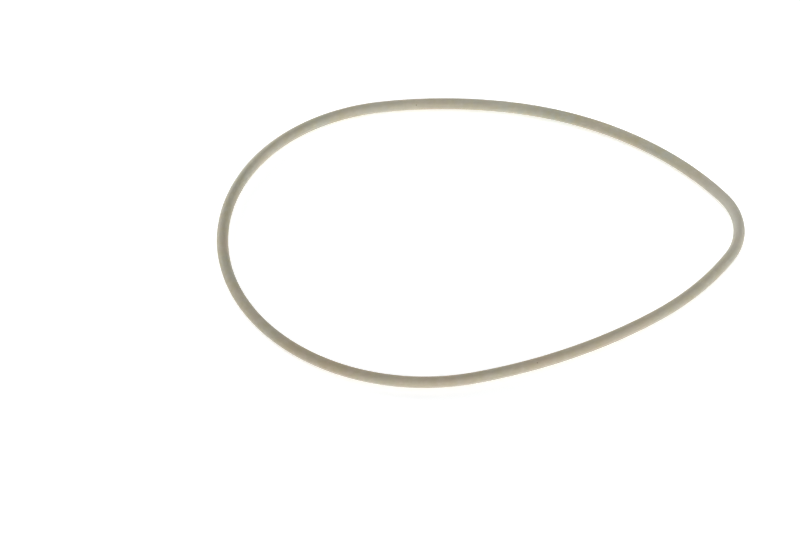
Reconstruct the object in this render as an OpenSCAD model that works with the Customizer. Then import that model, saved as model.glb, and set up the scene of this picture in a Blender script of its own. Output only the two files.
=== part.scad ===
// O-ring lying slack on a flat surface.
// The ring is one moulded piece of rubber with a round section. Off its seat it isn't round: it lies in an
// egg-shaped loop, and its cord stays as long as it was moulded. The loop is a chain of seven bends, each a
// stretch of torus that carries on in the direction in which the last one ended. Seen from above, the sharp
// end points to +X and the near side is the -Y one.

/* [Ring] */
// Inside diameter as moulded
inside_d = 115; // [100:1:150]
// Thickness of the round cord
cord_d = 3; // [2:0.1:5]

/* [Sharp end] */
// Bend radius of the sharp end, to the middle of the cord
sharp_r = 20; // [15:1:27]
// Degrees that the sharp end turns through
sharp_turn = 67; // [59:1:75]
// Direction that the ring faces where the sharp end starts, in degrees from +X
sharp_from = -32; // [-45:1:-20]

/* [Far side] */
// Degrees that the far flank turns through, next to the sharp end
far_flank_turn = 45; // [37:1:53]
// Bend radius of the flattest stretch of the far side
far_flat_r = 108; // [94:1:122]
// Degrees that the flattest stretch of the far side turns through
far_flat_turn = 19; // [14:1:24]
// Bend radius of the shoulder between the far side and the round end
shoulder_r = 48; // [42:1:54]
// Degrees that the shoulder turns through
shoulder_turn = 55; // [47:1:63]

/* [Near side] */
// Degrees that the flattest stretch of the near side turns through
near_flat_turn = 22; // [18:1:26]
// Bend radius of the near flank, next to the sharp end
near_flank_r = 77; // [69:1:85]
// Degrees that the near flank turns through
near_flank_turn = 22; // [18:1:26]

/* [Hidden] */

// Sides that the round section and a whole turn of the cord are drawn with
section_sides = 48;
turn_sides = 240;

// Degrees by which each bend runs on into the next, a hair that lets the two join as one
lap = 0.00001;

// Length of the cord along its middle, which bending leaves as it is
cord_length = PI * (inside_d + cord_d);

// The round end turns through what the other bends leave of a full turn
far_turn = far_flank_turn + far_flat_turn + shoulder_turn;
near_turn = near_flat_turn + near_flank_turn;
round_turn = 360 - sharp_turn - far_turn - near_turn;

// The bends in order, anticlockwise from the near side of the sharp end: how far each one turns, and the
// radius that is set for it, or 0 where the loop decides
turns = [
    sharp_turn, far_flank_turn, far_flat_turn, shoulder_turn,
    round_turn, near_flat_turn, near_flank_turn
];
set_radii = [
    sharp_r, 0, far_flat_r, shoulder_r,
    0, 0, near_flank_r
];
bends = [0 : len(turns) - 1];

// Direction that the ring faces where bend i starts, and where it ends
function from(i) = i == 0 ? sharp_from : from(i - 1) + turns[i - 1];
function to(i) = from(i) + turns[i];

// Unit step in direction a
function unit(a) = [cos(a), sin(a)];

// How far bend i carries the cord in X and in Y, and how much cord it takes, for each millimetre of radius
function carry(i) = concat(unit(to(i)) - unit(from(i)), turns[i] * PI / 180);

// All the bends together come back to where they started and take up the whole cord, so the three bends
// with no set radius share what the others leave. Their radii are worked out by Cramer's rule.
whole = [0, 0, cord_length];
rest = whole - set_radii * [for (i = bends) carry(i)];
free = [for (i = bends) if (set_radii[i] == 0) carry(i)];
crosses = [cross(free[1], free[2]), cross(free[2], free[0]), cross(free[0], free[1])];
free_radii = crosses * rest / (free[0] * crosses[0]);
far_flank_r = free_radii[0];
round_r = free_radii[1];
near_flat_r = free_radii[2];
radii = [
    sharp_r, far_flank_r, far_flat_r, shoulder_r,
    round_r, near_flat_r, near_flank_r
];

// Centre of bend i, on the line through the last centre and the place where the two bends meet
function centre(i) =
    i == 0 ? [0, 0] : centre(i - 1) + (radii[i - 1] - radii[i]) * unit(from(i));

// The bend that faces direction a, how far the middle of the cord reaches that way, and the loop's middle
function facing(a) = [for (i = bends) if (from(i) <= a && a < to(i)) i][0];
function reach(a) = centre(facing(a)) * unit(a) + radii[facing(a)];
middle = [reach(0) - reach(180), reach(90) - reach(270)] / 2;

// A place is set in two steps, whole hundredths of a millimetre and then what is left of it, so that each
// bend starts exactly where the last one ends
function hundredths(place) = [for (p = place) round(100 * p) / 100];
module put(place)
    translate(hundredths(place))
        translate(place - hundredths(place))
            children();

// One bend of the cord, lying on the surface
module bend(i)
    put(concat(centre(i) - middle, cord_d / 2))
        rotate_extrude(start = from(i), angle = turns[i] + lap, $fn = turn_sides)
            put([radii[i], 0])
                circle(d = cord_d, $fn = section_sides);

module o_ring()
    color("#A39B88")
        for (i = bends) bend(i);

o_ring();
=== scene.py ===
import math

import bmesh
import bpy
from mathutils import Matrix, Vector


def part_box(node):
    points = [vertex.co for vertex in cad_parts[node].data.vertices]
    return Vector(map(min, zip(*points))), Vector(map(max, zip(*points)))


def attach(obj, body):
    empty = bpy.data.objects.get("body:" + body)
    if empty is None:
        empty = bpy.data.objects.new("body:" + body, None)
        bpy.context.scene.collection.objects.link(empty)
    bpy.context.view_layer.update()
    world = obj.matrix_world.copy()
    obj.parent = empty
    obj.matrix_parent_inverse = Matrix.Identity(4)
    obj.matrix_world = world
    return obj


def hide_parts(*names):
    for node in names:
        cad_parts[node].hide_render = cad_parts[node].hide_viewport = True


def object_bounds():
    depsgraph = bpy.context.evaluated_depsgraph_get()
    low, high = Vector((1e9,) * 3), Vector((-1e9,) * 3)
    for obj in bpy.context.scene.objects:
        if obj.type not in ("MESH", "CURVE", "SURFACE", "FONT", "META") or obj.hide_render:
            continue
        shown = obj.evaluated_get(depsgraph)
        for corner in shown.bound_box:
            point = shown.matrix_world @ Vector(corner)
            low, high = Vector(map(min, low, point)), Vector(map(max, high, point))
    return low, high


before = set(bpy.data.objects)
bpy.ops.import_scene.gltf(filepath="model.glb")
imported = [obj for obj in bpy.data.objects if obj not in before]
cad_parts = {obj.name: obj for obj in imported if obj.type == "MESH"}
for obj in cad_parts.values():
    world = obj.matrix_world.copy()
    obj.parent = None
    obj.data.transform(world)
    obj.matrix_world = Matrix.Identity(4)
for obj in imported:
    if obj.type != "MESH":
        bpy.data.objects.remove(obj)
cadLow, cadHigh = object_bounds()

print("frame loaded:", ", ".join(sorted(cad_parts)))

# All sizes are in metres
micrometre = 0.000001
white = (1, 1, 1, 1)


# The ring is one moulded cord that lies slack. Its loop is a chain of bends, anticlockwise from the near
# side of the sharp end. A bend without a radius gets the one that closes the loop and uses up the cord.
ring = {
    "node": "o_ring",
    "slot": "putty_rubber",
    "insideDiameter": 0.115,  # as moulded
    "startFaces": -32,  # degrees from +X
    "bends": [  # degrees turned, radius to the middle of the cord
        (67, 0.020),  # sharp end
        (45, None),  # far flank
        (19, 0.108),  # flattest stretch of the far side
        (55, 0.048),  # shoulder
        (130, None),  # round end
        (22, None),  # flattest stretch of the near side
        (22, 0.077),  # near flank
    ],
    "sides": 96,
    "stepLength": 0.0008,
    "mergeWithin": 5 * micrometre,
    "seamProud": 20 * micrometre,  # the mould's parting line, a hair of flash inside and outside
}


def outwards(facing):
    return Vector((math.cos(facing), math.sin(facing), 0))


# Each bend carries the cord on by its radius times carry, in X, in Y and along its length. Together they
# come back to the start and use up the cord.
def bendRadii(cordLength):
    rest = Vector((0, 0, cordLength))
    facing = math.radians(ring["startFaces"])
    free = []
    for degrees, radius in ring["bends"]:
        turn = math.radians(degrees)
        carry = outwards(facing + turn) - outwards(facing)
        carry.z = turn
        if radius:
            rest -= radius * carry
        else:
            free.append(carry)
        facing += turn
    solved = iter(Matrix(free).transposed().inverted() @ rest)
    return [radius or next(solved) for degrees, radius in ring["bends"]]


# One bend of the cord, spun from its round section about the bend's centre
def spinBend(thickness, centre, facing, radius, turn):
    bm = bmesh.new()
    section = bmesh.ops.create_circle(bm, segments=ring["sides"], radius=thickness / 2)["verts"]
    slimmer = 1 - 2 * ring["seamProud"] / thickness
    for vert in section:
        if abs(vert.co.y) > ring["mergeWithin"]:
            vert.co.x *= slimmer  # all but the two points on the parting line
    upright = Matrix.Rotation(facing, 4, "Z") @ Matrix.Rotation(math.pi / 2, 4, "X")
    place = Matrix.Translation(centre + radius * outwards(facing))
    bmesh.ops.transform(bm, matrix=place @ upright, verts=section)
    bmesh.ops.spin(
        bm, geom=bm.verts[:] + bm.edges[:], cent=centre, axis=(0, 0, 1), angle=turn,
        steps=math.ceil(radius * turn / ring["stepLength"])
    )
    return bm


# A finished piece's object stays at the origin, with its place in its mesh
def newPiece(name, bm, material):
    mesh = bpy.data.meshes.new(name)
    bm.to_mesh(mesh)
    bm.free()
    mesh.materials.append(material)
    piece = bpy.data.objects.new(name, mesh)
    bpy.context.collection.objects.link(piece)
    return piece


def makeRing(material):
    low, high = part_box(ring["node"])
    thickness = high.z - low.z
    radii = bendRadii(math.pi * (ring["insideDiameter"] + thickness))
    bm = bmesh.new()
    facing = math.radians(ring["startFaces"])
    place = Vector()
    for (degrees, _), radius in zip(ring["bends"], radii):
        turn = math.radians(degrees)
        centre = place - radius * outwards(facing)
        bend = bpy.data.meshes.new("bend")
        spun = spinBend(thickness, centre, facing, radius, turn)
        spun.to_mesh(bend)
        spun.free()
        bm.from_mesh(bend)
        bpy.data.meshes.remove(bend)
        facing += turn
        place = centre + radius * outwards(facing)
        print("bend of", degrees, "degrees at", round(1000 * radius, 2), "mm")
    print("the loop closes within", round(place.length / micrometre, 2), "micrometres")
    bmesh.ops.remove_doubles(bm, verts=bm.verts, dist=ring["mergeWithin"])
    bmesh.ops.recalc_face_normals(bm, faces=bm.faces)

    # The loop's middle moves to the middle of the solid's box
    corners = [
        Vector(pick(vert.co[axis] for vert in bm.verts) for axis in range(3))
        for pick in (min, max)
    ]
    bmesh.ops.translate(bm, vec=(low + high - corners[0] - corners[1]) / 2, verts=bm.verts)
    for face in bm.faces:
        face.smooth = True
    openEdges = [edge for edge in bm.edges if len(edge.link_faces) != 2]
    print("ring:", len(bm.verts), "points,", len(openEdges), "open edges")

    piece = newPiece("oRing", bm, material)
    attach(piece, "root")
    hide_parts(ring["node"])


# Shader helpers
def newMaterial(name):
    material = bpy.data.materials.new(name)
    material.use_nodes = True
    material.node_tree.nodes.clear()
    return material, material.node_tree


def addNode(tree, kind, values=None, **settings):
    node = tree.nodes.new(kind)
    for name, value in settings.items():
        setattr(node, name, value)
    for name, value in (values or {}).items():
        node.inputs[name].default_value = value
    return node


def link(tree, source, target):
    tree.links.new(source, target)


# Each socket gets its value, or a link where the value comes from another node
def feed(tree, sockets, values):
    for socket, value in zip(sockets, values):
        if isinstance(value, bpy.types.NodeSocket):
            link(tree, value, socket)
        else:
            socket.default_value = value


def maths(tree, operation, *values):
    node = addNode(tree, "ShaderNodeMath", operation=operation)
    feed(tree, node.inputs, values)
    return node.outputs[0]


# 0 up to start, 1 from full on and smooth between them, also where full is the lower one
def spread(tree, value, start, full):
    edges = {"From Min": start, "From Max": full}
    node = addNode(tree, "ShaderNodeMapRange", edges, interpolation_type="SMOOTHSTEP")
    link(tree, value, node.inputs["Value"])
    return node.outputs["Result"]


def noiseMask(tree, place, size, start, full, detail=2, seed=0):
    values = {"Scale": 1 / size, "Detail": detail, "W": seed}
    noise = addNode(tree, "ShaderNodeTexNoise", values, noise_dimensions="4D")
    link(tree, place, noise.inputs["Vector"])
    return spread(tree, noise.outputs["Fac"], start, full)


# The masks added up, each by its share
def weigh(tree, *masks):
    total = 0
    for mask, share in masks:
        total = maths(tree, "MULTIPLY_ADD", mask, share, total)
    return total


def mixColours(tree, mask, first, second):
    mix = addNode(tree, "ShaderNodeMix", data_type="RGBA")
    link(tree, mask, mix.inputs["Factor"])
    feed(tree, mix.inputs[6:8], (first, second))  # A and B of a colour mix
    return mix.outputs[2]


def mixShaders(tree, mask, first, second):
    mix = addNode(tree, "ShaderNodeMixShader")
    feed(tree, mix.inputs, (mask, first, second))
    return mix.outputs[0]


def addShaders(tree, first, second):
    both = addNode(tree, "ShaderNodeAddShader")
    feed(tree, both.inputs, (first, second))
    return both.outputs[0]


# A colour as it looks in a picture, 0 to 255, as the linear values that a shader takes
def sRGB(red, green, blue):
    def linear(value):
        value /= 255
        return value / 12.92 if value <= 0.04045 else ((value + 0.055) / 1.055) ** 2.4
    return (linear(red), linear(green), linear(blue), 1)


# Matte moulded rubber, mottled from greenish to warm putty, with a trace of bloom, and with painted light:
# warmer on the near side, paler on a stretch of the sharp end and on the underside of the near half. Each
# pair of edges is where a mask starts and where it is full.
rubber = {
    "shine": 0.12,
    "roughness": (0.56, 0.7),  # without bloom and with it
    "cool": sRGB(155, 156, 143),
    "warm": sRGB(167, 152, 131),
    "warmClouds": [(0.009, 72, 0.38), (0.014, 260, 0.34)],  # how far apart they lie, seed, share
    "warmLightSide": (0.010, -0.043),  # painted warm light: edges in Y, so the near side is warmer, as under a warm lamp in front
    "warmLightShare": 0.34,
    "cloudEdges": (0.35, 0.65),
    "straw": sRGB(160, 153, 121),
    "strawPatches": {"size": 0.0027, "start": 0.4, "full": 0.65},
    "strawShare": 0.54,
    "bloom": sRGB(190, 185, 171),
    "bloomPatches": {"size": 0.0018, "start": 0.4, "full": 0.8, "detail": 4},
    "bloomShare": 0.24,
    "bloomClouds": [(0.024, 68, 0.175), (0.042, 162, 0.165)],
    "tipLight": sRGB(175, 177, 172),  # painted light: paler and greyer on a stretch of the sharp end, which looks lit more
    "tipLightMiddle": (0.066, 0.008, 0),
    "tipLightEdges": (0.026, 0.0065),  # distance from that middle
    "tipLightShare": 0.36,
    "underLight": sRGB(176, 174, 168),  # painted light from the floor: paler and less warm on the underside of the near half
    "underLightHeights": (0.0017, 0.0008),
    "underLightSide": (0.035, -0.015),  # edges in Y
    "underLightShare": 0.45,
    "speck": sRGB(96, 88, 74),
    "speckCell": 0.0045,  # one speck at most in each cell of this size
    "speckEdges": (0.039, 0.021),  # distance from the speck's middle, in cells
    "speckChance": 0.35,  # of a cell to hold one
    "seamEdges": (60 * micrometre, 30 * micrometre),
    "seamShare": 0.25,  # of bloom on the parting line
    "dents": {"size": 0.0011, "start": 0.3, "full": 0.7},
    "dentDepth": 30 * micrometre,
    "grain": {"size": 0.00022, "start": 0.2, "full": 0.8, "detail": 3},
    "grainDepth": 12 * micrometre,
}


# Slow changes of the surface, each with its share
def clouds(tree, place, values):
    return [
        (noiseMask(tree, place, size, *rubber["cloudEdges"], seed=seed), share)
        for size, seed, share in values
    ]


# Dark specks: the middles of a few cells, told by each cell's own random colour
def speckMask(tree, place):
    cells = addNode(tree, "ShaderNodeTexVoronoi", {"Scale": 1 / rubber["speckCell"]})
    link(tree, place, cells.inputs["Vector"])
    near = spread(tree, cells.outputs["Distance"], *rubber["speckEdges"])
    chance = addNode(tree, "ShaderNodeSeparateColor")
    link(tree, cells.outputs["Color"], chance.inputs["Color"])
    picked = maths(tree, "LESS_THAN", chance.outputs["Red"], rubber["speckChance"])
    return maths(tree, "MULTIPLY", near, picked)


# Painted light: a paler, greyer patch on a stretch of the sharp end
def tipLightMask(tree, place):
    away = addNode(tree, "ShaderNodeVectorMath", {1: rubber["tipLightMiddle"]}, operation="DISTANCE")
    link(tree, place, away.inputs[0])
    return spread(tree, away.outputs["Value"], *rubber["tipLightEdges"])


# Painted light from the floor on the underside of the near half
def underLightMask(tree, side, height):
    under = spread(tree, height, *rubber["underLightHeights"])
    return maths(tree, "MULTIPLY", under, spread(tree, side, *rubber["underLightSide"]))


# The parting line runs round at half the ring's height
def seamMask(tree, height, seamHeight):
    off = maths(tree, "ABSOLUTE", maths(tree, "SUBTRACT", height, seamHeight))
    return spread(tree, off, *rubber["seamEdges"])


def bump(tree, mask, depth, normal=None):
    node = addNode(tree, "ShaderNodeBump", {"Strength": 1, "Distance": depth})
    link(tree, mask, node.inputs["Height"])
    if normal:
        link(tree, normal, node.inputs["Normal"])
    return node.outputs["Normal"]


def makeRubber():
    low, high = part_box(ring["node"])
    material, tree = newMaterial("puttyRubber")
    place = addNode(tree, "ShaderNodeTexCoord").outputs["Object"]
    split = addNode(tree, "ShaderNodeSeparateXYZ")
    link(tree, place, split.inputs["Vector"])
    side, height = split.outputs["Y"], split.outputs["Z"]

    # Painted warm light on the near side
    paintedWarmLight = spread(tree, side, *rubber["warmLightSide"])
    bloomPatches = noiseMask(tree, place, **rubber["bloomPatches"])
    seam = seamMask(tree, height, (low.z + high.z) / 2)
    shares = {
        "warm": [(paintedWarmLight, rubber["warmLightShare"]), *clouds(tree, place, rubber["warmClouds"])],
        "straw": [(noiseMask(tree, place, **rubber["strawPatches"]), rubber["strawShare"])],
        "tipLight": [(tipLightMask(tree, place), rubber["tipLightShare"])],
        "bloom": [
            (bloomPatches, rubber["bloomShare"]),
            (seam, rubber["seamShare"]),
            *clouds(tree, place, rubber["bloomClouds"]),
        ],
        "underLight": [(underLightMask(tree, side, height), rubber["underLightShare"])],
        "speck": [(speckMask(tree, place), 1)],
    }
    colour = rubber["cool"]
    for tone, masks in shares.items():
        colour = mixColours(tree, weigh(tree, *masks), colour, rubber[tone])

    smoothest, roughest = rubber["roughness"]
    rough = addNode(tree, "ShaderNodeMapRange", {"To Min": smoothest, "To Max": roughest})
    link(tree, bloomPatches, rough.inputs["Value"])

    dented = bump(tree, noiseMask(tree, place, **rubber["dents"]), rubber["dentDepth"])
    grained = bump(tree, noiseMask(tree, place, **rubber["grain"]), rubber["grainDepth"], dented)

    shader = addNode(tree, "ShaderNodeBsdfPrincipled", {"Specular IOR Level": rubber["shine"]})
    link(tree, colour, shader.inputs["Base Color"])
    link(tree, rough.outputs["Result"], shader.inputs["Roughness"])
    link(tree, grained, shader.inputs["Normal"])
    output = addNode(tree, "ShaderNodeOutputMaterial")
    link(tree, shader.outputs["BSDF"], output.inputs["Surface"])
    print("rubber:", len(tree.nodes), "shader nodes")
    return material


# 1 for the rays that show the background, to the camera, in gloss and through glass
def seenRays(tree):
    path = addNode(tree, "ShaderNodeLightPath").outputs
    shown = maths(tree, "MAXIMUM", path["Is Camera Ray"], path["Is Glossy Ray"])
    return maths(tree, "MAXIMUM", shown, path["Is Transmission Ray"])


# The floor is a white light table. Rays that show the background see it white, less a trace of the shadow.
floor = {
    "halfWidth": 3,
    "colour": (0.9, 0.9, 0.9, 1),
    "glow": 1.06,
    "seenGlow": (0.405, 1),  # near the ring, where the lamps add the rest, and far from it
    "seenReaches": (0.08, 0.4),  # how far from the ring's middle these two are
    "seenTint": (0.96, 0.985, 1, 1),  # makes up for the warm light that the ring sends down
}


def glowFromNearToFar(tree):
    place = addNode(tree, "ShaderNodeTexCoord").outputs["Object"]
    away = addNode(tree, "ShaderNodeVectorMath", operation="LENGTH")
    link(tree, place, away.inputs[0])
    near, far = floor["seenReaches"]
    nearGlow, farGlow = floor["seenGlow"]
    values = {"From Min": near, "From Max": far, "To Min": nearGlow, "To Max": farGlow}
    strength = addNode(tree, "ShaderNodeMapRange", values, interpolation_type="SMOOTHSTEP")
    link(tree, away.outputs["Value"], strength.inputs["Value"])
    glow = addNode(tree, "ShaderNodeEmission", {"Color": floor["seenTint"]})
    link(tree, strength.outputs["Result"], glow.inputs["Strength"])
    return glow.outputs[0]


def makeFloor():
    material, tree = newMaterial("paleFloor")
    pale = addNode(tree, "ShaderNodeBsdfDiffuse", {"Color": floor["colour"]}).outputs[0]
    glow = addNode(tree, "ShaderNodeEmission", {"Color": white, "Strength": floor["glow"]}).outputs[0]
    shadowed = addNode(tree, "ShaderNodeBsdfDiffuse", {"Color": white}).outputs[0]
    lit = addShaders(tree, pale, glow)
    seen = addShaders(tree, shadowed, glowFromNearToFar(tree))
    output = addNode(tree, "ShaderNodeOutputMaterial")
    link(tree, mixShaders(tree, seenRays(tree), lit, seen), output.inputs["Surface"])

    bm = bmesh.new()
    bmesh.ops.create_grid(bm, x_segments=1, y_segments=1, size=floor["halfWidth"])
    bmesh.ops.translate(bm, vec=(0, 0, cadLow.z), verts=bm.verts)
    newPiece("floor", bm, material)
    print("floor:", 2 * floor["halfWidth"], "m wide")


# The room sends no light of its own, and the rays that show it see it white
room = {
    "light": 0,
    "seen": 1,
}


def makeRoom():
    surroundings = bpy.data.worlds.new("paleRoom")
    surroundings.use_nodes = True
    tree = surroundings.node_tree
    tree.nodes.clear()
    light, seen = (
        addNode(tree, "ShaderNodeBackground", {"Color": white, "Strength": room[name]}).outputs[0]
        for name in ("light", "seen")
    )
    output = addNode(tree, "ShaderNodeOutputWorld")
    link(tree, mixShaders(tree, seenRays(tree), light, seen), output.inputs["Surface"])
    bpy.context.scene.world = surroundings
    print("room: light", room["light"])


# Where each softbox stands, seen from the ring: azimuth 0 is the camera's side and 90 the right. Its level
# is the strength of a white room that would light a surface facing it as much.
softboxes = [  # name, azimuth, elevation, distance, size, level
    ("backLeft", 225, 12, 0.8, 0.5, 0.84),
    ("frontRight", 45, 12, 0.8, 0.5, 0.52),
    ("overhead", 0, 89.9, 0.8, 0.6, 0.33),
    ("front", 0, 12, 0.8, 0.5, 0.24),
    ("backRightNear", 135, 45, 0.134, 0.067, 0.255),
    ("backLeftLow", 225, 15, 0.134, 0.058, 0.09),
    ("frontLeftLow", 315, 15, 0.134, 0.058, 0.052),
    ("leftLow", 280, 15, 0.134, 0.058, 0.02),
    ("rightLow", 90, 15, 0.134, 0.058, 0.03),
]


# Unit step from the ring's middle, with azimuth 0 towards the camera's side
def towards(azimuth, elevation):
    azimuth, elevation = math.radians(azimuth), math.radians(elevation)
    level = Vector((math.sin(azimuth), -math.cos(azimuth), 0))
    return math.cos(elevation) * level + math.sin(elevation) * Vector((0, 0, 1))


def makeSoftboxes():
    for name, azimuth, elevation, distance, size, level in softboxes:
        step = towards(azimuth, elevation)
        data = bpy.data.lights.new(name, "AREA")
        data.size = size
        data.energy = level * (math.pi * distance) ** 2
        light = bpy.data.objects.new(name, data)
        light.location = distance * step
        light.rotation_euler = step.to_track_quat("Z", "Y").to_euler()
        light.visible_camera = False
        bpy.context.collection.objects.link(light)
    print("softboxes:", len(softboxes))


camera = {
    "lens": 200,
    "sensor": 36,
    "clip": (0.01, 100),
    "looksAt": (-0.02107, -0.00875, 0),
    "distance": 1.1488,
    "elevation": 45,
}


def makeCamera():
    data = bpy.data.cameras.new("camera")
    data.lens = camera["lens"]
    data.sensor_width = camera["sensor"]
    data.clip_start, data.clip_end = camera["clip"]
    viewer = bpy.data.objects.new("camera", data)
    viewer.location = Vector(camera["looksAt"]) + camera["distance"] * towards(0, camera["elevation"])
    viewer.rotation_euler = (math.radians(90 - camera["elevation"]), 0, 0)
    bpy.context.collection.objects.link(viewer)
    bpy.context.scene.camera = viewer
    print("camera:", camera["distance"], "m away")


makeRing(makeRubber())
makeFloor()
makeRoom()
makeSoftboxes()
makeCamera()
bpy.context.scene.view_settings.view_transform = "Standard"
